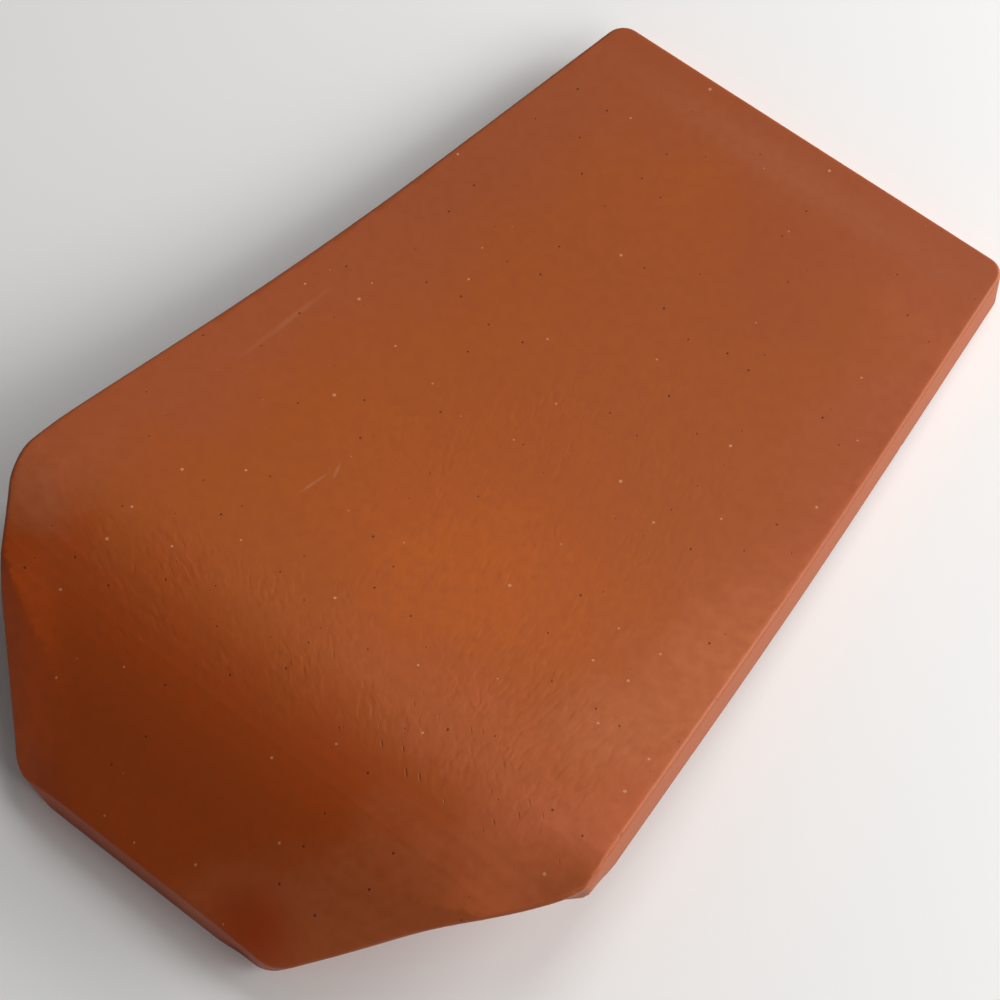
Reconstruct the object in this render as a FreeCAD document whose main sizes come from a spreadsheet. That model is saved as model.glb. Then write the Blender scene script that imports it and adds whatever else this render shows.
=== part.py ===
"""Under-ridge tile: one pressed terracotta slab whose nose bends down into a tapered flange.

The tail plate is flat, the plate then rises a little, and its nose turns down over a soft bend
into a flange that narrows to a toe. The tile is drawn with its tail plate lying flat, tail end
at y = 0 and nose towards -Y, and is then laid on the floor, on its tail edge and its toe.
"""
import FreeCAD, Part
import math
import os
import Sketcher
from FreeCAD import Rotation, Vector

NODE = "under_ridge_tile"

# name, value, what it is (lengths in mm, angles in degrees)
SIZES = [
    ("thickness", 12.5, "thickness of the slab"),
    ("tail_width", 138.0, "width of the tail end"),
    ("nose_width", 200.0, "width across the shoulders, where the flange starts"),
    ("toe_width", 93.0, "width of the flange at its lower end"),
    ("tail_run", 75.0, "flat plate from the tail end to the rise"),
    ("rise_radius", 620.0, "radius of the hollow where the plate starts to rise"),
    ("rise_angle", 7.6, "angle by which the plate rises"),
    ("shoulder_run", 49.0, "flat plate from the rise to the bend"),
    ("easing_radius", 200.0, "outer radius of the slow start of the bend"),
    ("easing_angle", 3.5, "angle through which the slow start turns"),
    ("bend_radius", 80.0, "radius of the outer face round the bend"),
    ("bend_angle", 37.5, "angle through which the rest of the bend turns"),
    ("flange_run", 23.0, "flat length of the flange below the bend"),
    ("shoulder_setback", 11.0, "shoulder corners, in plan, past the start of the bend"),
    ("flange_draft", 9.0, "undercut of the flange's sides"),
    ("toe_slant", 28.0, "lean of the toe's end face, lower edge forward, from square"),
    ("flank_width", 22.0, "width of the band that falls away beside each side of the flange"),
    ("flank_radius", 110.0, "radius of that band"),
    ("flank_crease", 2.0, "angle of the faint crease where that band starts"),
    ("tail_corner", 6.0, "radius of the tail corners"),
    ("shoulder_corner", 15.0, "radius of the shoulder corners"),
    ("toe_corner", 9.5, "radius of the toe corners"),
    ("arris", 1.2, "rounding of the outer edges"),
]
MARGIN = 30.0  # how far a trim reaches past the slab
FLANK_REACH = 8.0  # how far the trim of a flank reaches past the toe's corner
FINE = 0.05  # how closely the points follow the surface when the tile is laid on the floor
SETTLING_TURNS = 6  # small turns after which the tile lies level on its two edges
FLANGE_ANGLE = "Sizes.bend_angle + Sizes.easing_angle - Sizes.rise_angle"

doc = FreeCAD.newDocument("UnderRidgeTile")
sheet = doc.addObject("Spreadsheet::Sheet", "Sizes")
for row, (alias, value, note) in enumerate(SIZES, start=1):
    sheet.set(f"A{row}", note)
    sheet.set(f"B{row}", str(value))
    sheet.setAlias(f"B{row}", alias)
doc.recompute()

tile = doc.addObject("PartDesign::Body", "Tile")
tile.Label = NODE


def size(alias):
    """The number that the sheet holds for one named size."""
    return float(sheet.get(alias))


def base_plane(role):
    """One of the body's own three base planes."""
    return next(o for o in tile.Origin.OriginFeatures if o.Role == role)


def new_sketch(name, support):
    """A sketch lying on one of the body's own planes."""
    sketch = tile.newObject("Sketcher::SketchObject", name)
    sketch.AttachmentSupport = (support, [""])
    sketch.MapMode = "FlatFace"
    return sketch


def drive(sketch, name, expression, kind, *where):
    """Add a named dimension whose value comes from the sheet."""
    value = float(sketch.evalExpression(expression))
    if kind == "Angle":
        value = math.radians(value)
    index = sketch.addConstraint(Sketcher.Constraint(kind, *where, value))
    sketch.renameConstraint(index, name)
    sketch.setExpression(f"Constraints.{name}", expression)


def measure(sketch, name, kind, *where):
    """Add a named dimension that only reads what the sketch has."""
    index = sketch.addConstraint(Sketcher.Constraint(kind, *where, 1.0))
    sketch.setDriving(index, False)
    sketch.renameConstraint(index, name)


START, END, CENTRE = 1, 2, 3  # how a sketch numbers the points of a line or arc
ORIGIN = (-1, 1)
OUTER = range(6)  # the section's lines and arcs in order: outer face, inner face, ends, chord
TAIL_FACE, TOE_FACE, CHORD = 12, 13, 14


def side_profile():
    """The slab's section along the tile: flat, hollow, flat, bend and flange, one thickness thick."""
    thick = size("thickness")
    rise = math.radians(size("rise_angle"))
    eased = math.radians(size("rise_angle") - size("easing_angle"))
    drop = eased - math.radians(size("bend_angle"))
    slant = drop + math.radians(size("toe_slant"))
    rise_radius, easing_radius, bend_radius = (
        size("rise_radius"), size("easing_radius"), size("bend_radius"))

    def heading(angle):
        return Vector(-math.cos(angle), math.sin(angle), 0)

    def outward(angle):
        return Vector(math.sin(angle), math.cos(angle), 0)

    def chain(depth):
        """The run of lines and arcs that lies so far below the outer face."""
        tail = Vector(0, thick - depth, 0)
        rise_start = tail + heading(0) * size("tail_run")
        rise_centre = Vector(-size("tail_run"), thick + rise_radius, 0)
        rise_end = rise_centre - outward(rise) * (rise_radius + depth)
        outer_end = rise_centre - outward(rise) * rise_radius
        easing_centre = outer_end + heading(rise) * size("shoulder_run") - outward(rise) * easing_radius
        easing_start = easing_centre + outward(rise) * (easing_radius - depth)
        bend_centre = easing_centre + outward(eased) * (easing_radius - bend_radius)
        bend_end = bend_centre + outward(drop) * (bend_radius - depth)
        toe = bend_end + heading(drop) * (size("flange_run") + depth * math.tan(slant - drop))
        up = Vector(0, 0, 1)
        quarter = math.pi / 2
        hollow = Part.ArcOfCircle(
            Part.Circle(rise_centre, up, rise_radius + depth), -quarter - rise, -quarter)
        easing = Part.ArcOfCircle(
            Part.Circle(easing_centre, up, easing_radius - depth), quarter - rise, quarter - eased)
        bend = Part.ArcOfCircle(
            Part.Circle(bend_centre, up, bend_radius - depth), quarter - eased, quarter - drop)
        return [Part.LineSegment(rise_start, tail), hollow, Part.LineSegment(easing_start, rise_end),
                easing, bend, Part.LineSegment(toe, bend_end)]

    sketch = new_sketch("SideProfile", base_plane("YZ_Plane"))
    outer = sketch.addGeometry(chain(0), False)
    inner = sketch.addGeometry(chain(thick), False)
    for plate, hollow, shoulder, easing, bend, flange in (outer, inner):
        for first, first_end, second, second_end in (
                (plate, START, hollow, END), (hollow, START, shoulder, END),
                (shoulder, START, easing, START), (easing, END, bend, START), (bend, END, flange, END)):
            sketch.addConstraint(Sketcher.Constraint("Tangent", first, first_end, second, second_end))
    corners = [sketch.getPoint(line, end) for line, end in (
        (inner[0], END), (outer[0], END), (outer[5], START), (inner[5], START))]
    tail_face = sketch.addGeometry(Part.LineSegment(corners[0], corners[1]), False)
    toe_face = sketch.addGeometry(Part.LineSegment(corners[2], corners[3]), False)
    for first, first_end, second, second_end in (
            (tail_face, START, inner[0], END), (tail_face, END, outer[0], END),
            (toe_face, START, outer[5], START), (toe_face, END, inner[5], START),
            (inner[1], CENTRE, outer[1], CENTRE), (inner[3], CENTRE, outer[3], CENTRE),
            (inner[4], CENTRE, outer[4], CENTRE), (tail_face, START, *ORIGIN)):
        sketch.addConstraint(Sketcher.Constraint("Coincident", first, first_end, second, second_end))
    sketch.addConstraint(Sketcher.Constraint("Vertical", tail_face))
    sketch.addConstraint(Sketcher.Constraint("Horizontal", outer[0]))
    for line in (0, 2, 5):
        sketch.addConstraint(Sketcher.Constraint("Parallel", inner[line], outer[line]))
    drive(sketch, "thickness", "Sizes.thickness", "Distance", tail_face)
    drive(sketch, "tail_run", "Sizes.tail_run", "Distance", outer[0])
    drive(sketch, "rise_radius", "Sizes.rise_radius", "Radius", outer[1])
    drive(sketch, "rise_angle", "-Sizes.rise_angle", "Angle", outer[2])
    drive(sketch, "shoulder_run", "Sizes.shoulder_run", "Distance", outer[2])
    drive(sketch, "easing_radius", "Sizes.easing_radius", "Radius", outer[3])
    drive(sketch, "easing_angle", "Sizes.easing_angle", "Angle", outer[3])
    drive(sketch, "bend_radius", "Sizes.bend_radius", "Radius", outer[4])
    drive(sketch, "flange_angle", FLANGE_ANGLE, "Angle", outer[5])
    drive(sketch, "flange_run", "Sizes.flange_run", "Distance", outer[5])
    drive(sketch, "toe_angle", f"{FLANGE_ANGLE} - Sizes.toe_slant - 90", "Angle", toe_face)

    # the flange's sides are cut along this chord, from the shoulder to the toe
    bend_top, toe = sketch.getPoint(outer[4], START), sketch.getPoint(outer[5], START)
    shoulder = bend_top + Vector(-size("shoulder_setback"), 0, 0)
    chord = sketch.addGeometry(Part.LineSegment(toe, shoulder), True)
    sketch.addConstraint(Sketcher.Constraint("Coincident", chord, START, outer[5], START))
    sketch.addConstraint(Sketcher.Constraint("PointOnObject", chord, END, outer[4]))
    drive(sketch, "shoulder_setback", "Sizes.shoulder_setback", "DistanceX",
          chord, END, outer[4], START)
    measure(sketch, "chord_length", "Distance", chord)
    measure(sketch, "chord_angle", "Angle", chord)
    measure(sketch, "shoulder_back", "DistanceX", chord, END, *ORIGIN)
    measure(sketch, "shoulder_height", "DistanceY", *ORIGIN, chord, END)
    measure(sketch, "toe_back", "DistanceX", chord, START, *ORIGIN)
    measure(sketch, "toe_height", "DistanceY", *ORIGIN, chord, START)
    return sketch


def slab(profile):
    """The bent slab at its full width, before its sides are trimmed."""
    pad = tile.newObject("PartDesign::Pad", "Slab")
    pad.Profile = profile
    pad.Midplane = True
    pad.setExpression("Length", "Sizes.nose_width")
    return pad


def trim_wire(sketch, points):
    """A closed outline of straight lines; returns their numbers."""
    points = [Vector(across, along, 0) for across, along in points]
    lines = sketch.addGeometry(
        [Part.LineSegment(a, b) for a, b in zip(points, points[1:] + points[:1])], False)
    for line, following in zip(lines, lines[1:] + lines[:1]):
        sketch.addConstraint(Sketcher.Constraint("Coincident", line, END, following, START))
    return lines


def fix(sketch, name, kind, *where):
    """Add a named dimension with a plain value, for waste that only has to reach far enough."""
    index = sketch.addConstraint(Sketcher.Constraint(kind, *where))
    sketch.renameConstraint(index, name)


def plate_trim():
    """The waste beside the plate, which leaves its side tapering from the shoulder to the tail."""
    sketch = new_sketch("PlateTrim", base_plane("XY_Plane"))
    shoulder = -profile.getDatum("shoulder_back").Value
    far = size("nose_width") / 2 + MARGIN
    cut, nose, outer, tail, back = trim_wire(sketch, [
        (size("tail_width") / 2, 0), (size("nose_width") / 2, shoulder),
        (far, shoulder), (far, MARGIN), (size("tail_width") / 2, MARGIN)])
    for line, kind in ((nose, "Horizontal"), (outer, "Vertical"),
                       (tail, "Horizontal"), (back, "Vertical")):
        sketch.addConstraint(Sketcher.Constraint(kind, line))
    sketch.addConstraint(Sketcher.Constraint("PointOnObject", cut, START, -1))
    drive(sketch, "tail", "Sizes.tail_width / 2", "DistanceX", *ORIGIN, cut, START)
    drive(sketch, "nose", "Sizes.nose_width / 2", "DistanceX", *ORIGIN, cut, END)
    drive(sketch, "shoulder", "SideProfile.Constraints.shoulder_back", "DistanceY", cut, END, *ORIGIN)
    fix(sketch, "beside", "DistanceX", *ORIGIN, outer, END, far)
    fix(sketch, "behind", "DistanceY", *ORIGIN, outer, END, MARGIN)
    return sketch


def flange_plane():
    """A plane that faces the flange, MARGIN out from its shoulders and toe."""
    plane = tile.newObject("PartDesign::Plane", "FlangePlane")
    plane.AttachmentSupport = (base_plane("XY_Plane"), [""])
    plane.MapMode = "FlatFace"
    plane.AttachmentOffset = FreeCAD.Placement(Vector(), Rotation(Vector(1, 0, 0), 1.0))
    plane.setExpression("AttachmentOffset.Base.y", "-SideProfile.Constraints.shoulder_back")
    plane.setExpression("AttachmentOffset.Base.z", "SideProfile.Constraints.shoulder_height")
    plane.setExpression("AttachmentOffset.Rotation.Angle", "SideProfile.Constraints.chord_angle")
    return plane


def flange_trim():
    """The waste beside the flange. The cut leans in below the outer face by the flange's draft."""
    sketch = new_sketch("FlangeTrim", flange_plane())
    chord = profile.getDatum("chord_length").Value
    shoulder, toe = size("nose_width") / 2, size("toe_width") / 2
    flare = (shoulder - toe) / chord * MARGIN
    far = shoulder + 3 * MARGIN
    taper = sketch.addGeometry(Part.LineSegment(Vector(shoulder, 0, 0), Vector(toe, -chord, 0)), True)
    drive(sketch, "shoulder", "Sizes.nose_width / 2", "DistanceX", *ORIGIN, taper, START)
    sketch.addConstraint(Sketcher.Constraint("PointOnObject", taper, START, -1))
    drive(sketch, "toe", "Sizes.toe_width / 2", "DistanceX", *ORIGIN, taper, END)
    drive(sketch, "chord", "SideProfile.Constraints.chord_length", "DistanceY", taper, END, *ORIGIN)
    cut, below, outer, above = trim_wire(sketch, [
        (shoulder + flare, MARGIN), (toe - flare, -chord - MARGIN),
        (far, -chord - MARGIN), (far, MARGIN)])
    sketch.addConstraint(Sketcher.Constraint("Tangent", cut, taper))
    for line, kind in ((below, "Horizontal"), (outer, "Vertical"), (above, "Horizontal")):
        sketch.addConstraint(Sketcher.Constraint(kind, line))
    fix(sketch, "beside", "DistanceX", *ORIGIN, outer, END, far)
    fix(sketch, "above", "DistanceY", *ORIGIN, outer, END, MARGIN)
    fix(sketch, "below", "DistanceY", cut, END, taper, END, MARGIN)
    return sketch


def plate_side():
    """Cut the plate's side square through the slab."""
    cut = tile.newObject("PartDesign::Pocket", "PlateSide")
    cut.Profile = plate_trim()
    cut.Type = "ThroughAll"
    cut.SideType = "Symmetric"
    return cut


def flange_side():
    """Cut the flange's side with its undercut."""
    cut = tile.newObject("PartDesign::Pocket", "FlangeSide")
    sketch = flange_trim()
    doc.recompute()
    cut.Profile = sketch
    cut.Type = "ThroughAll"
    draft = math.radians(size("flange_draft"))
    down = (sketch.getPoint(0, END) - sketch.getPoint(0, START)).normalize()
    inward = Vector(down.y, -down.x, 0)
    slant = inward * math.sin(draft) - Vector(0, 0, 1) * math.cos(draft)
    cut.SideType = "Two sides"
    cut.Type2 = "ThroughAll"
    cut.UseCustomVector = True
    cut.Direction = sketch.Placement.Rotation.multVec(slant)
    return cut


def flank_profile():
    """The waste beyond the arc by which one flank of the flange falls away, drawn at the toe."""
    plane = tile.newObject("PartDesign::Plane", "FlankPlane")
    plane.AttachmentSupport = (base_plane("XZ_Plane"), [""])
    plane.MapMode = "FlatFace"
    plane.AttachmentOffset = FreeCAD.Placement(Vector(), Rotation(Vector(1, 0, 0), 1.0))
    plane.setExpression("AttachmentOffset.Base.y", "SideProfile.Constraints.toe_height")
    plane.setExpression("AttachmentOffset.Base.z", "SideProfile.Constraints.toe_back")
    plane.setExpression("AttachmentOffset.Rotation.Angle", FLANGE_ANGLE)

    sketch = new_sketch("FlankProfile", plane)
    radius, crease = size("flank_radius"), math.radians(size("flank_crease"))
    top_across = size("toe_width") / 2 - size("flank_width") - radius * math.sin(crease)
    centre = Vector(top_across, -radius * math.cos(crease), 0)
    far = size("toe_width") / 2 + FLANK_REACH
    end_angle = math.acos((far - top_across) / radius)
    circle = Part.Circle(centre, Vector(0, 0, 1), radius)
    fall = sketch.addGeometry(Part.ArcOfCircle(circle, end_angle, math.pi / 2), False)
    low, top = sketch.getPoint(fall, START), sketch.getPoint(fall, END)
    outer, above, inner = sketch.addGeometry([
        Part.LineSegment(low, Vector(far, MARGIN, 0)),
        Part.LineSegment(Vector(far, MARGIN, 0), Vector(top_across, MARGIN, 0)),
        Part.LineSegment(Vector(top_across, MARGIN, 0), top)], False)
    for first, first_end, second, second_end in (
            (fall, START, outer, START), (outer, END, above, START),
            (above, END, inner, START), (inner, END, fall, END)):
        sketch.addConstraint(Sketcher.Constraint("Coincident", first, first_end, second, second_end))
    for line, kind in ((outer, "Vertical"), (above, "Horizontal"), (inner, "Vertical")):
        sketch.addConstraint(Sketcher.Constraint(kind, line))
    sketch.addConstraint(Sketcher.Constraint("Vertical", fall, CENTRE, fall, END))
    drive(sketch, "radius", "Sizes.flank_radius", "Radius", fall)
    drive(sketch, "across", "Sizes.toe_width / 2 - Sizes.flank_width"
          " - Sizes.flank_radius * sin(Sizes.flank_crease * 1 deg)",
          "DistanceX", *ORIGIN, fall, CENTRE)
    drive(sketch, "depth", "Sizes.flank_radius * cos(Sizes.flank_crease * 1 deg)",
          "DistanceY", fall, CENTRE, *ORIGIN)
    drive(sketch, "beside", f"Sizes.toe_width / 2 + {FLANK_REACH}", "DistanceX", *ORIGIN, outer, END)
    fix(sketch, "above", "DistanceY", *ORIGIN, outer, END, MARGIN)
    return sketch


def flank(side_cut):
    """Let the outer face fall away beside the flange's side, in line with that side's edge."""
    sketch = flank_profile()
    doc.recompute()
    side_sketch = side_cut.Profile[0]
    taper = side_sketch.Placement.Rotation.multVec(
        side_sketch.getPoint(0, END) - side_sketch.getPoint(0, START))
    face_out = sketch.Placement.Rotation.multVec(Vector(0, 1, 0))
    cut = tile.newObject("PartDesign::Pocket", "Flank")
    cut.Profile = sketch
    cut.Type = "ThroughAll"
    cut.SideType = "Two sides"
    cut.Type2 = "ThroughAll"
    cut.UseCustomVector = True
    cut.Direction = taper.cross(side_cut.Direction).cross(face_out)
    return cut


def mirrored(features):
    """The same trims on the other side."""
    mirror = tile.newObject("PartDesign::Mirrored", "OtherSide")
    mirror.Originals = features
    mirror.MirrorPlane = (base_plane("YZ_Plane"), [""])
    tile.Tip = mirror
    return mirror


def face_at(shape, point):
    """The face that this point lies on, found as the nearest one."""
    spot = Part.Vertex(point)
    return min(shape.Faces, key=lambda face: face.distToShape(spot)[0])


def edges_between(shape, first, second):
    """Names of the edges that two groups of faces share."""
    names = []
    for number, edge in enumerate(shape.Edges, start=1):
        faces = shape.ancestorsOfType(edge, Part.Face)
        if any(f.isSame(a) for f in faces for a in first) and any(
                f.isSame(b) for f in faces for b in second):
            names.append(f"Edge{number}")
    return names


def section_point(line, share=0.5, across=0.0):
    """A point of the tile on one line of its section, some way along it."""
    curve = profile.Geometry[line]
    at = curve.value(curve.FirstParameter + share * (curve.LastParameter - curve.FirstParameter))
    return Vector(across, at.x, at.y)


def rounded(name, edges, alias):
    """Round some edges of what the body has so far."""
    base = tile.Tip
    fillet = tile.newObject("PartDesign::Fillet", name)
    fillet.Base = (base, edges)
    fillet.setExpression("Radius", f"Sizes.{alias}")
    tile.Tip = fillet
    doc.recompute()
    return fillet


def tail_end(side):
    """A point on the tail's end face, which is the same for both sides."""
    return section_point(TAIL_FACE)


def toe_end(side):
    """A point on the toe's end face, which is the same for both sides."""
    return section_point(TOE_FACE)


def plate_edge(side):
    """A point on one side face of the plate, just in from the tail."""
    share = size("thickness") / profile.getDatum("shoulder_back").Value
    half = (size("tail_width") * (1 - share) + size("nose_width") * share) / 2
    return Vector(side * half, -size("thickness"), size("thickness") / 2)


def flank_middle(side):
    """A point of the toe's outer edge in the middle of one flank."""
    sketch = flank_cut.Profile[0]
    arc = sketch.Geometry[0]
    across = arc.Center.x - size("toe_width") / 2 + size("flank_width") / 2
    height = arc.Center.y + math.sqrt(arc.Radius ** 2 - across ** 2)
    at = sketch.Placement.multVec(Vector(arc.Center.x - across, height, 0))
    return Vector(side * at.x, at.y, at.z)


def flange_edge(side):
    """A point on one side face of the flange, halfway from the shoulder to the toe."""
    on_chord = section_point(CHORD, 0.5, (size("nose_width") + size("toe_width")) / 4)
    at = on_chord + flange_cut.Direction * (size("thickness") / 3)
    return Vector(side * at.x, at.y, at.z)


def round_corners(name, first, second, alias):
    """Round the corners where two of the tile's sides meet, left and right."""
    shape = tile.Tip.Shape
    edges = []
    for side in (-1, 1):
        edges += edges_between(shape, [face_at(shape, first(side))], [face_at(shape, second(side))])
    return rounded(name, edges, alias)


def round_arris():
    """Round the whole edge of the outer side."""
    shape = tile.Tip.Shape
    points = [section_point(line) for line in OUTER] + [flank_middle(side) for side in (-1, 1)]
    outer = [face_at(shape, point) for point in points]
    others = [face for face in shape.Faces if not any(face.isSame(skin) for skin in outer)]
    return rounded("Arris", edges_between(shape, outer, others), "arris")


def lay_down(shape):
    """Where the tile comes to rest on a floor at z = 0, centred over the origin."""
    points = shape.tessellate(FINE)[0]
    middle = shape.Solids[0].CenterOfMass
    tilt = 0.0
    for _ in range(SETTLING_TURNS):
        turn = Rotation(Vector(1, 0, 0), tilt)
        turned = [turn.multVec(point) for point in points]
        over = turn.multVec(middle).y
        tail = min((p for p in turned if p.y > over), key=lambda p: p.z)
        toe = min((p for p in turned if p.y <= over), key=lambda p: p.z)
        tilt += math.degrees(math.atan2(toe.z - tail.z, tail.y - toe.y))
    centre = (min(p.y for p in turned) + max(p.y for p in turned)) / 2
    return FreeCAD.Placement(Vector(0, -centre, -tail.z), turn)


profile = side_profile()
doc.recompute()
slab(profile)
doc.recompute()
plate_cut = plate_side()
doc.recompute()
flange_cut = flange_side()
doc.recompute()
flank_cut = flank(flange_cut)
doc.recompute()
mirrored([plate_cut, flange_cut, flank_cut])
doc.recompute()
round_corners("TailCorners", plate_edge, tail_end, "tail_corner")
round_corners("ShoulderCorners", plate_edge, flange_edge, "shoulder_corner")
round_corners("ToeCorners", flange_edge, toe_end, "toe_corner")
round_arris()
tile.Placement = lay_down(tile.Shape)
doc.recompute()

for feature in doc.Objects:
    if {"Invalid", "Error"} & set(feature.State):
        raise RuntimeError(f"{feature.Name} failed")
if tile.Shape.isNull() or not tile.Shape.isValid() or len(tile.Shape.Solids) != 1:
    raise RuntimeError("the tile isn't one valid solid")

box = tile.Shape.optimalBoundingBox()
print(f"volume {tile.Shape.Volume / 1000:.1f} cm3, faces {len(tile.Shape.Faces)}")
print(f"box {box.XLength:.2f} x {box.YLength:.2f} x {box.ZLength:.2f}, floor {box.ZMin:.3f}")
print(f"tilt {math.degrees(tile.Placement.Rotation.Angle):.3f}")
os.makedirs("parts", exist_ok=True)
tile.Shape.exportStep(f"parts/{NODE}.step")
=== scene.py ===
# %% [markdown]
# # Under-ridge tile
#
# A roof of round cover tiles leaves a hollow under its ridge between every two rows. This small
# terracotta tile closes that hollow: a flat tail that lies in the row, a soft bend, and a flange
# that narrows to a toe. It is one piece of fired clay, so there is one solid to finish here.
#
# The solid comes from the frame at its real size. Blender adds what the kiln, the maker's hands
# and some use left on it: the colour, the sheen, the wipe marks, the worn corners and the faint
# waviness of pressed clay.

# %% Load the frame
import bmesh
import bpy
import math
from mathutils import Matrix, Vector, noise


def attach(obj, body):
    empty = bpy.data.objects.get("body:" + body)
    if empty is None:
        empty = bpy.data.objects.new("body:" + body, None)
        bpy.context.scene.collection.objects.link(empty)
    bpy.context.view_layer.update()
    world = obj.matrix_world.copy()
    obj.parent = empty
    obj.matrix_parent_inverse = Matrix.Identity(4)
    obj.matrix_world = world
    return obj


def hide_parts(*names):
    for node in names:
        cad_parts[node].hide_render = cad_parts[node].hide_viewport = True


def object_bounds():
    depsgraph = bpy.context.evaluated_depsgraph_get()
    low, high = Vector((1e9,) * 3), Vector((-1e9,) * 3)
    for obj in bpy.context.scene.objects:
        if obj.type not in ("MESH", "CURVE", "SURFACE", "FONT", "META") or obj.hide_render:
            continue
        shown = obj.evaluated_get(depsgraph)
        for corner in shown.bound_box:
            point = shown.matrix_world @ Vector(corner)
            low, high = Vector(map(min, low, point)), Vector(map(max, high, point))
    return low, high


TILE = "under_ridge_tile"
MM = 0.001  # the scene is in metres, and the sizes below are in millimetres

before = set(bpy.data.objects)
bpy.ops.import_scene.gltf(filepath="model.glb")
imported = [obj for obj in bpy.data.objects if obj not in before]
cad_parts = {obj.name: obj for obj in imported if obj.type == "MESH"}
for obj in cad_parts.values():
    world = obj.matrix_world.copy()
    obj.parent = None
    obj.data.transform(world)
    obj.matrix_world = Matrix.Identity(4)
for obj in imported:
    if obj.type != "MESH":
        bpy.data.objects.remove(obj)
cad_low, cad_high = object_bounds()
print("solid as built, mm:", [round(side / MM, 1) for side in cad_high - cad_low])

# %% [markdown]
# ## Camera
#
# The tile is seen from above its toe and right side through a long lens. A camera looks along
# its own -Z axis, so it is turned to face a point near the middle of the tile, and then rolled a
# little about that axis, as a hand-held camera would be.

# %% Camera
VIEW_FROM = 43.32  # degrees round from the toe towards the right side
VIEW_ABOVE = 61.72  # degrees above the floor
VIEW_ROLL = -4.45
VIEW_DISTANCE = 949.41
VIEW_CENTRE = (4.74, -2.82, 14.15)
LENS = 125.742
SENSOR = 36.0


def aim(from_side, above):
    """The direction from the tile towards a place that many degrees round and up."""
    side, up = math.radians(from_side), math.radians(above)
    return Vector((math.sin(side) * math.cos(up), -math.cos(side) * math.cos(up), math.sin(up)))


camera_data = bpy.data.cameras.new("camera")
camera_data.lens = LENS
camera_data.sensor_width = SENSOR
camera = bpy.data.objects.new("camera", camera_data)
bpy.context.scene.collection.objects.link(camera)
towards_camera = aim(VIEW_FROM, VIEW_ABOVE)
turn = (-towards_camera).to_track_quat("-Z", "Y").to_matrix()
turn = turn @ Matrix.Rotation(math.radians(VIEW_ROLL), 3, "Z")
camera.matrix_world = turn.to_4x4()
camera.location = (Vector(VIEW_CENTRE) + towards_camera * VIEW_DISTANCE) * MM
bpy.context.scene.camera = camera
print("camera at, mm:", [round(x / MM) for x in camera.location])

# %% [markdown]
# ## Floor and light
#
# The floor is plain and pale. The light is soft and comes from five square boxes and a faint even
# sky. Low boxes behind the right side graze the plate, so the right side is bright and every
# small mark throws a shade, and the flange, which faces away from them, turns dark.

# %% Colours and nodes


def colour(code):
    """An sRGB hex colour as the linear RGBA that Blender's sockets take."""
    values = [int(code[i:i + 2], 16) / 255 for i in (0, 2, 4)]
    return [v / 12.92 if v <= 0.04045 else ((v + 0.055) / 1.055) ** 2.4 for v in values] + [1.0]


def add_node(tree, kind, settings=None, inputs=None):
    """Add one shader node, set its properties, and fill or link its inputs by identifier."""
    node = tree.nodes.new(kind)
    for name, value in (settings or {}).items():
        setattr(node, name, value)
    sockets = {socket.identifier: socket for socket in node.inputs}
    for name, value in (inputs or {}).items():
        if isinstance(value, bpy.types.NodeSocket):
            tree.links.new(value, sockets[name])
        else:
            sockets[name].default_value = value
    return node


def maths(tree, operation, *values):
    """One sum, product or other operation on one or two values."""
    inputs = dict(zip(("Value", "Value_001"), values))
    return add_node(tree, "ShaderNodeMath", {"operation": operation}, inputs).outputs["Value"]


def ramp(tree, value, start, full, low=0.0, high=1.0, curve="LINEAR"):
    """A value that is low up to the start and high from the full mark on."""
    return add_node(tree, "ShaderNodeMapRange", {"interpolation_type": curve}, {
        "Value": value, "From Min": start, "From Max": full,
        "To Min": low, "To Max": high}).outputs["Result"]


def clouds(tree, place, size, detail, roughness=0.5):
    """A noise node whose lumps have about this size."""
    return add_node(tree, "ShaderNodeTexNoise", inputs={
        "Vector": place, "Scale": 1 / (size * MM), "Detail": detail, "Roughness": roughness})


def new_material(name):
    """A material with nothing in it but its output node."""
    material = bpy.data.materials.new(name)
    material.use_nodes = True
    material.node_tree.nodes.clear()
    output = add_node(material.node_tree, "ShaderNodeOutputMaterial")
    return material, material.node_tree, output


# %% Floor
FLOOR_REACH = 3000  # from its middle to each side

floor_material, tree, output = new_material("matt_white_paint")
paint = add_node(tree, "ShaderNodeBsdfPrincipled", inputs={
    "Base Color": colour("F6F5F3"), "Roughness": 0.85})
tree.links.new(paint.outputs["BSDF"], output.inputs["Surface"])

floor_mesh = bpy.data.meshes.new("floor")
bm = bmesh.new()
bmesh.ops.create_grid(bm, x_segments=1, y_segments=1, size=FLOOR_REACH * MM)
bm.to_mesh(floor_mesh)
bm.free()
floor_mesh.materials.append(floor_material)
floor = bpy.data.objects.new("floor", floor_mesh)
bpy.context.scene.collection.objects.link(floor)

# %% Lights
LIGHT_DISTANCE = 1500
LIGHT_WIDTH = 700
SKY = 0.12
# name, degrees round from the toe towards the right side, degrees above the floor, watts
LIGHTS = [
    ("low_behind", 150, 15, 21.3),
    ("low_right", 120, 15, 10.5),
    ("right", 90, 35, 5.8),
    ("low_front_right", 60, 15, 1.9),
    ("overhead_tail", 180, 58, 5.9),
]


def soft_box(name, from_side, above, watts):
    """A square area light that faces the tile."""
    data = bpy.data.lights.new(name, "AREA")
    data.size = LIGHT_WIDTH * MM
    data.energy = watts
    lamp = bpy.data.objects.new(name, data)
    direction = aim(from_side, above)
    lamp.rotation_euler = (-direction).to_track_quat("-Z", "Y").to_euler()
    lamp.location = direction * LIGHT_DISTANCE * MM
    bpy.context.scene.collection.objects.link(lamp)


for light in LIGHTS:
    soft_box(*light)

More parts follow.
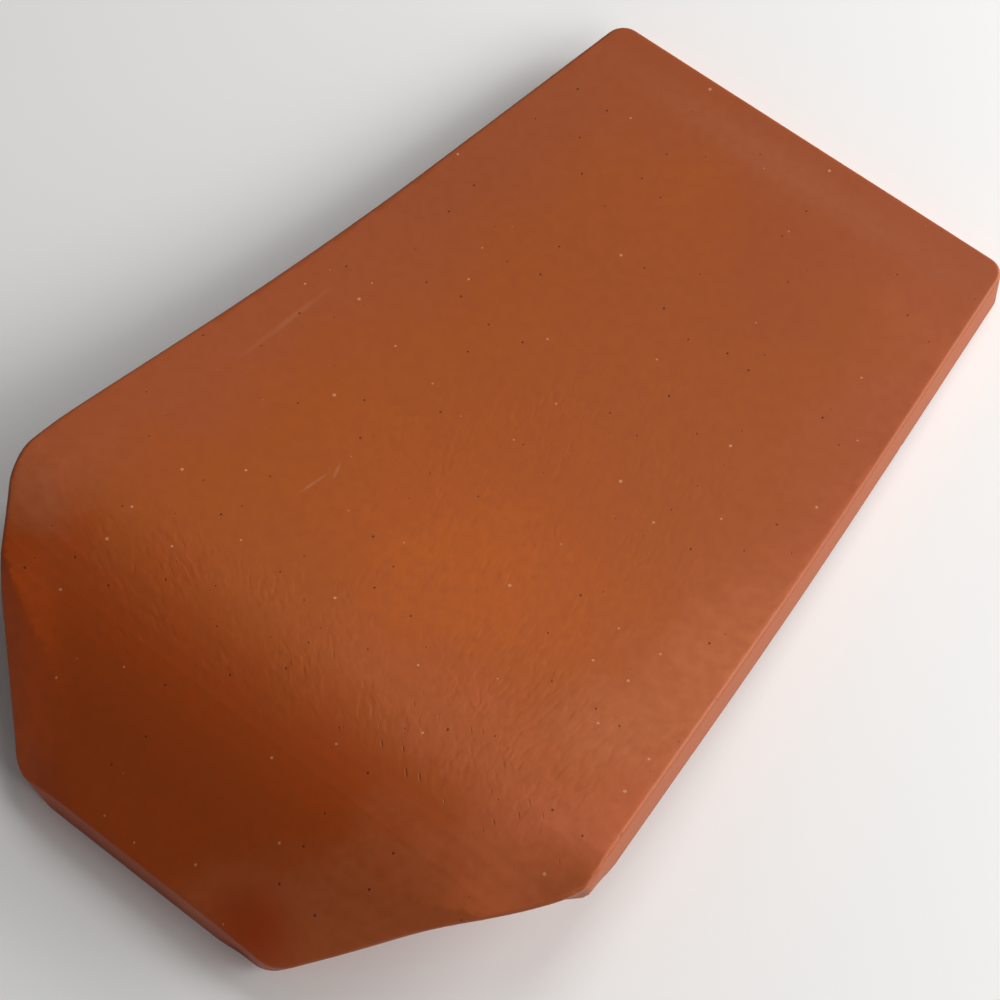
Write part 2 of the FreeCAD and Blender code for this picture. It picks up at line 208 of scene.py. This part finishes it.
world = bpy.data.worlds.new("studio")
world.use_nodes = True
world.node_tree.nodes["Background"].inputs["Color"].default_value = colour("FFFFFF")
world.node_tree.nodes["Background"].inputs["Strength"].default_value = SKY
bpy.context.scene.world = world
bpy.context.scene.view_settings.view_transform = "Standard"

# %% [markdown]
# ## The tile's mesh
#
# The frame's mesh has few, long triangles, which shade badly and can't be bent. A copy of it is
# merged into one skin and sliced by planes both ways and upwards, which leaves its shape alone
# and gives it points close together. They can then be moved a little: clay that was pressed,
# lifted and dried is never quite true. Each move stays inside the solid's own box.

# %% Even skin
SLICE = 2.0
SEAM = 0.005  # points closer than this are one point, on the seams of the frame's mesh
SLIVER = 0.08  # points closer than this are merged, so no thin face spoils the shading
ON_PLANE = 1e-7  # a point this close to a slicing plane is on it, in metres

tile_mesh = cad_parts[TILE].data.copy()
bm = bmesh.new()
bm.from_mesh(tile_mesh)
bmesh.ops.remove_doubles(bm, verts=bm.verts, dist=SEAM * MM)
for axis in range(3):
    count = round((cad_high[axis] - cad_low[axis]) / (SLICE * MM))
    for k in range(1, count):
        cut, normal = Vector((0, 0, 0)), Vector((0, 0, 0))
        cut[axis] = cad_low[axis] + (cad_high[axis] - cad_low[axis]) * k / count
        normal[axis] = 1
        everything = bm.verts[:] + bm.edges[:] + bm.faces[:]
        bmesh.ops.bisect_plane(bm, geom=everything, plane_co=cut, plane_no=normal, dist=ON_PLANE)
bmesh.ops.remove_doubles(bm, verts=bm.verts, dist=SLIVER * MM)
bmesh.ops.dissolve_degenerate(bm, edges=bm.edges, dist=SLIVER * MM)
bmesh.ops.triangulate(bm, faces=bm.faces)
print("faces in the even skin:", len(bm.faces))

# %% Pressed and worn corners
# place, how far round it the clay moved, and how far the clay moved at the place itself
PRESSES = [
    ((-92, -91, 34), 30, (1.6, 1.2, 0.0)),  # the left shoulder is worn round
    ((-97, -83, 34), 9, (0.5, 0.4, 0.0)),
    ((94, -95, 34), 25, (0.1, -0.4, -2.1)),  # the right one droops past its crisp corner
    ((96, -81.5, 24), 8, (0.7, -0.4, 0.0)),
    ((70, -118, 24), 22, (-0.3, 0.4, 0.4)),
    ((33, -143, 2), 10, (0.0, 0.8, 0.0)),  # the toe's right corner is worn
    ((-41, -143, 11), 12, (-0.9, 0.0, -1.2)),  # and its left one is full
]


def press(bm, centre, reach, push):
    """Move the clay round one place: all of the push there, and none past the reach."""
    centre, push = Vector(centre), Vector(push)
    for vert in bm.verts:
        share = 1 - (vert.co / MM - centre).length / reach
        if share > 0:
            vert.co += push * MM * share * share * (3 - 2 * share)


for centre, reach, push in PRESSES:
    press(bm, centre, reach, push)

# %% Crisp right shoulder
CRISP_CORNER = (97.7, -80.4)  # the middle of its round, in plan
CRISP_REACH = 7.5
CRISP_PUSH = (0.9, -0.8, 0.0)


def draw_out(bm, centre, reach, push):
    """Turn a round upright corner crisp: its middle moves out most, by the same all the way up."""
    centre, push = Vector(centre), Vector(push)
    for vert in bm.verts:
        share = 1 - (vert.co.xy / MM - centre).length / reach
        if share > 0:
            vert.co += push * MM * share * share


draw_out(bm, CRISP_CORNER, CRISP_REACH, CRISP_PUSH)

# %% Waviness of pressed clay
WAVES = [(34.0, 0.14), (9.0, 0.035)]  # length and depth; a wave only takes clay away

bm.normal_update()
for vert in bm.verts:
    dip = sum(depth * (noise.noise(vert.co / (length * MM)) - 1) / 2 for length, depth in WAVES)
    vert.co += vert.normal * dip * MM
for vert in bm.verts:
    for axis in range(3):
        vert.co[axis] = min(max(vert.co[axis], cad_low[axis]), cad_high[axis])
for face in bm.faces:
    face.smooth = True
bm.to_mesh(tile_mesh)
bm.free()

# %% [markdown]
# ## Terracotta
#
# Iron-rich clay fired in air turns a deep orange-red. The middle of the plate is the cleanest and
# most orange. Pale salts bloom along the tail and the two long edges, and the flange, which dried
# slowest, is the reddest. Each of these is a soft zone on the tile, and one drift of noise makes
# the borders of the large ones ragged. The small ones along an edge stay even. Some colours are
# painted light and shade: a painted sheen at the foot of the bend, painted highlights on the
# flange's sides and the left shoulder, and painted shade on the upright side faces and in the pits
# and pinholes.

# %% Zones on the tile
SIDE_SLOPE = 0.1386  # how far a long edge spreads for each unit along the tile
SIDE_EDGE = 88.9  # where the long edges are, measured square across at the tile's middle
FLANGE_SIDE = (0.775, -0.632, 0)  # square to the right side of the flange, in plan
FLANGE_EDGE = 126.2  # where that side lies along that direction
FLANK_TURN = 39  # from the tile's length to the left side of the flange
RAGGED_SIZE = 24  # size of the lumps in a zone's border
RAGGED_REACH = 45  # the noise moves that border by less than half of this

terracotta, tree, output = new_material("fired_terracotta")
where = add_node(tree, "ShaderNodeTexCoord")
place = where.outputs["Object"]
outward = where.outputs["Normal"]
drift = clouds(tree, place, RAGGED_SIZE, 5.0, 0.6)
centred = add_node(tree, "ShaderNodeVectorMath", {"operation": "SUBTRACT"}, {
    "Vector": drift.outputs["Color"], "Vector_001": (0.5, 0.5, 0.5)})
ragged = add_node(tree, "ShaderNodeVectorMath", {"operation": "MULTIPLY_ADD"}, {
    "Vector": centred.outputs["Vector"],
    "Vector_001": (RAGGED_REACH * MM, RAGGED_REACH * MM, 0),
    "Vector_002": place}).outputs["Vector"]


def zone(tree, place, centre, half_size, fade, turn=0):
    """1 inside an ellipse on the tile, 0 outside, with a soft border."""
    local = add_node(tree, "ShaderNodeMapping", {"vector_type": "TEXTURE"}, {
        "Vector": place, "Location": (centre[0] * MM, centre[1] * MM, 0),
        "Rotation": (0, 0, math.radians(turn)),
        "Scale": (half_size[0] * MM, half_size[1] * MM, 1)})
    reach = add_node(tree, "ShaderNodeVectorMath", {"operation": "LENGTH"}, {
        "Vector": local.outputs["Vector"]})
    return ramp(tree, reach.outputs["Value"], 1 + fade, 1 - fade, curve="SMOOTHSTEP")


def towards(tree, place, direction, start, full):
    """0 before one distance along a direction and 1 after another."""
    along = add_node(tree, "ShaderNodeVectorMath", {"operation": "DOT_PRODUCT"}, {
        "Vector": place, "Vector_001": direction})
    return ramp(tree, along.outputs["Value"], start * MM, full * MM, curve="SMOOTHSTEP")


def facing(tree, normal, axis, start, full):
    """1 where the surface faces along this axis, either way, and 0 where it runs beside it."""
    parts = add_node(tree, "ShaderNodeSeparateXYZ", inputs={"Vector": normal})
    return ramp(tree, maths(tree, "ABSOLUTE", parts.outputs[axis]), start, full)


# the upright side faces, which get a painted shade
painted_shade_on_sides = facing(tree, outward, "X", 0.25, 0.65)
wide_faces = facing(tree, outward, "Z", 0.5, 0.75)

# %% Specks and pinholes
SMALLEST_DOT = 0.4  # its share of the radius; the largest has 1 more
DOT_FADE = 0.3  # its soft border, as a share of the radius


def dots(tree, place, spacing, radius, least, shift):
    """1 on small round dots at random places, about one spacing apart.

    A cell keeps its dot if its random number is over the least. The shift, which is in metres,
    only makes each kind of dot use cells of its own.
    The dots are laid out in plan, so an upright face, where one would draw out to a line, has none.
    """
    moved = add_node(tree, "ShaderNodeVectorMath", {"operation": "ADD"}, {
        "Vector": place, "Vector_001": shift})
    cells = add_node(tree, "ShaderNodeTexVoronoi", {"voronoi_dimensions": "2D"}, {
        "Vector": moved.outputs["Vector"], "Scale": 1 / (spacing * MM)})
    chance = add_node(tree, "ShaderNodeSeparateColor", inputs={"Color": cells.outputs["Color"]})
    size = maths(tree, "ADD", chance.outputs["Green"], SMALLEST_DOT)
    reach = maths(tree, "DIVIDE", cells.outputs["Distance"], size)
    share = radius / spacing
    near = ramp(tree, reach, (1 + DOT_FADE) * share, (1 - DOT_FADE) * share)
    chosen = maths(tree, "GREATER_THAN", chance.outputs["Red"], least)
    return maths(tree, "MULTIPLY", maths(tree, "MULTIPLY", near, chosen), wide_faces)


specks = dots(tree, place, 15.0, 0.34, 0.66, (0.3, 0.1, 0))
pinholes = dots(tree, place, 11.0, 0.26, 0.6, (0.7, 0.5, 0))

# %% Pits in the bend
PIT_TURN = 46  # from the tile's length
PIT_STRETCH = 4.0  # its length for a width of 1

along_stroke = add_node(tree, "ShaderNodeMapping", {"vector_type": "TEXTURE"}, {
    "Vector": place, "Rotation": (0, 0, math.radians(PIT_TURN)), "Scale": (1, PIT_STRETCH, 1)})
pit_places = dots(tree, along_stroke.outputs["Vector"], 3.0, 0.22, 0.5, (0.1, 0.2, 0))
pits = maths(tree, "MULTIPLY", pit_places, zone(tree, ragged, (44, -80), (42, 12), 0.6))

# %% Mottling
MOTTLE = 3.2  # size of the faint darker patches
MOTTLE_STRENGTH = 0.33

mottling = clouds(tree, place, MOTTLE, 1.0)
mottled = ramp(tree, mottling.outputs["Fac"], 0.35, 0.75, high=MOTTLE_STRENGTH)

# %% Colour of the clay
CLAY = "9F4A04"
RESULT_COLOUR = 2  # the Mix node's colour output

# Each line is a mask and the colour that it lays over the lines before it.
layers = [
    # the clean middle of the plate, and a lighter patch near the tail
    (zone(tree, ragged, (6, -14), (36, 48), 0.35), "A04900"),
    (zone(tree, ragged, (20, -30), (30, 24), 0.7), "AA4E00"),
    (zone(tree, ragged, (22, 106), (26, 26), 0.6), "9B4608"),
    # the bloom along the left and the right edge
    (towards(tree, ragged, (-1, SIDE_SLOPE, 0), SIDE_EDGE - 50, SIDE_EDGE - 5), "9B4A20"),
    (towards(tree, ragged, (1, SIDE_SLOPE, 0), SIDE_EDGE - 34, SIDE_EDGE), "A44C1C"),
    (zone(tree, ragged, (94, -40), (27, 62), 0.5), "AC5829"),
    # painted sheen at the foot of the bend, the flange, and then painted highlights
    #     # where the flange's left and right sides and the left shoulder catch the light
    (zone(tree, ragged, (60, -68), (50, 13), 0.5), "A44C14"),
    (towards(tree, ragged, (0, -1, 0), 68, 104), "A34000"),
    # painted highlight on the flange's left side, in two parts
    (zone(tree, place, (-56, -130), (11, 28), 0.7, FLANK_TURN), "BC4A08"),
    (zone(tree, place, (-68, -116), (9, 14), 0.7, FLANK_TURN), "BC4A08"),
    # painted highlight on the left shoulder
    (zone(tree, ragged, (-85, -84), (16, 14), 0.7), "A5532A"),
    # painted highlight on the flange's right side
    (towards(tree, ragged, FLANGE_SIDE, FLANGE_EDGE - 36, FLANGE_EDGE - 12), "AC5224"),
    # the tail and the pale line along its end
    (towards(tree, ragged, (0, 1, 0), 108, 140), "99471B"),
    (zone(tree, place, (-4, 131), (52, 5), 0.8), "9E4E26"),
    # the right shoulder, the toe's right corner, and painted shade on the upright side faces
    (zone(tree, place, (90, -90), (18, 9), 0.8), "A65026"),
    (zone(tree, place, (34, -139), (11, 8), 0.8), "9E3800"),
    (painted_shade_on_sides, "8C4210"),
    # three scratches
    (zone(tree, place, (-32, -36), (0.4, 4.5), 0.6, -8), "A65C34"),
    (zone(tree, place, (-30, -29), (0.4, 2.5), 0.6, 20), "A65C34"),
    (zone(tree, place, (-74, 0), (0.8, 13), 0.7, -4), "A05630"),
    # what is scattered over the whole tile, and the pits in the bend, with painted shade in the
    # pits and pinholes
    (mottled, "92400A"),
    # painted shade in the hollow pits
    (pits, "85400F"),
    (specks, "BE8058"),
    # painted shade in the hollow pinholes
    (pinholes, "5E2A0E"),
]
tone = colour(CLAY)
for mask, code in layers:
    tone = add_node(tree, "ShaderNodeMix", {"data_type": "RGBA"}, {
        "Factor_Float": mask, "A_Color": tone, "B_Color": colour(code)}).outputs[RESULT_COLOUR]

# %% [markdown]
# ## Wipe marks
#
# A wet hand smoothed the bend and left short shallow strokes, a few millimetres long. They are a
# noise that is stretched along the stroke. At the right of the bend they run down the tile, and
# towards its left and its foot they turn across it. The whole face has a faint grain, and the
# pinholes and pits are hollow.

# %% Wipe marks
WIPE_WIDTH = 1.8
WIPE_LENGTH = 4.2
PATCH = 14.0  # the marks come and go in patches of about this size
GRAIN = 2.6  # size of the grain of the whole face
GRAIN_DEPTH = 0.3  # as a share of the relief
RELIEF = 0.06  # depth of the deepest mark
# turn of the stroke from the tile's length, where the strokes are, and their share of the relief
WIPES = [
    (4, zone(tree, ragged, (68, -54), (34, 28), 0.6), 0.75),
    (44, zone(tree, ragged, (18, -72), (48, 17), 0.6), 0.8),
    (66, zone(tree, ragged, (-30, -86), (44, 16), 0.6), 0.7),
    (18, zone(tree, ragged, (20, -8), (50, 56), 0.6), 0.42),
]
patches = clouds(tree, place, PATCH, 2.0)
patchy = ramp(tree, patches.outputs["Fac"], 0.38, 0.62, low=0.25)

grain = clouds(tree, place, GRAIN, 1.0)
height = maths(tree, "MULTIPLY", grain.outputs["Fac"], GRAIN_DEPTH)
for turn, where_wiped, depth in WIPES:
    stroke = add_node(tree, "ShaderNodeMapping", {"vector_type": "TEXTURE"}, {
        "Vector": place, "Rotation": (0, 0, math.radians(turn)),
        "Scale": (WIPE_WIDTH * MM, WIPE_LENGTH * MM, WIPE_WIDTH * MM)})
    marks = add_node(tree, "ShaderNodeTexNoise", inputs={
        "Vector": stroke.outputs["Vector"], "Scale": 1.0, "Detail": 0.5, "Distortion": 0.4})
    lifted = ramp(tree, marks.outputs["Fac"], 0.25, 0.6, high=depth, curve="SMOOTHSTEP")
    shown = maths(tree, "MULTIPLY", maths(tree, "MULTIPLY", lifted, where_wiped), patchy)
    height = maths(tree, "ADD", height, shown)
for hollow in (pinholes, pits):
    height = maths(tree, "SUBTRACT", height, hollow)
relief = add_node(tree, "ShaderNodeBump", inputs={
    "Strength": 1.0, "Distance": RELIEF * MM, "Height": height})

# %% Terracotta
clay = add_node(tree, "ShaderNodeBsdfPrincipled", inputs={
    "Base Color": tone, "Roughness": 0.5, "Specular IOR Level": 0.33,
    "Normal": relief.outputs["Normal"]})
tree.links.new(clay.outputs["BSDF"], output.inputs["Surface"])
tile_mesh.materials.clear()
tile_mesh.materials.append(terracotta)

# %% Put the tile in place
tile = bpy.data.objects.new("tile", tile_mesh)
bpy.context.scene.collection.objects.link(tile)
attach(tile, "root")
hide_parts(TILE)
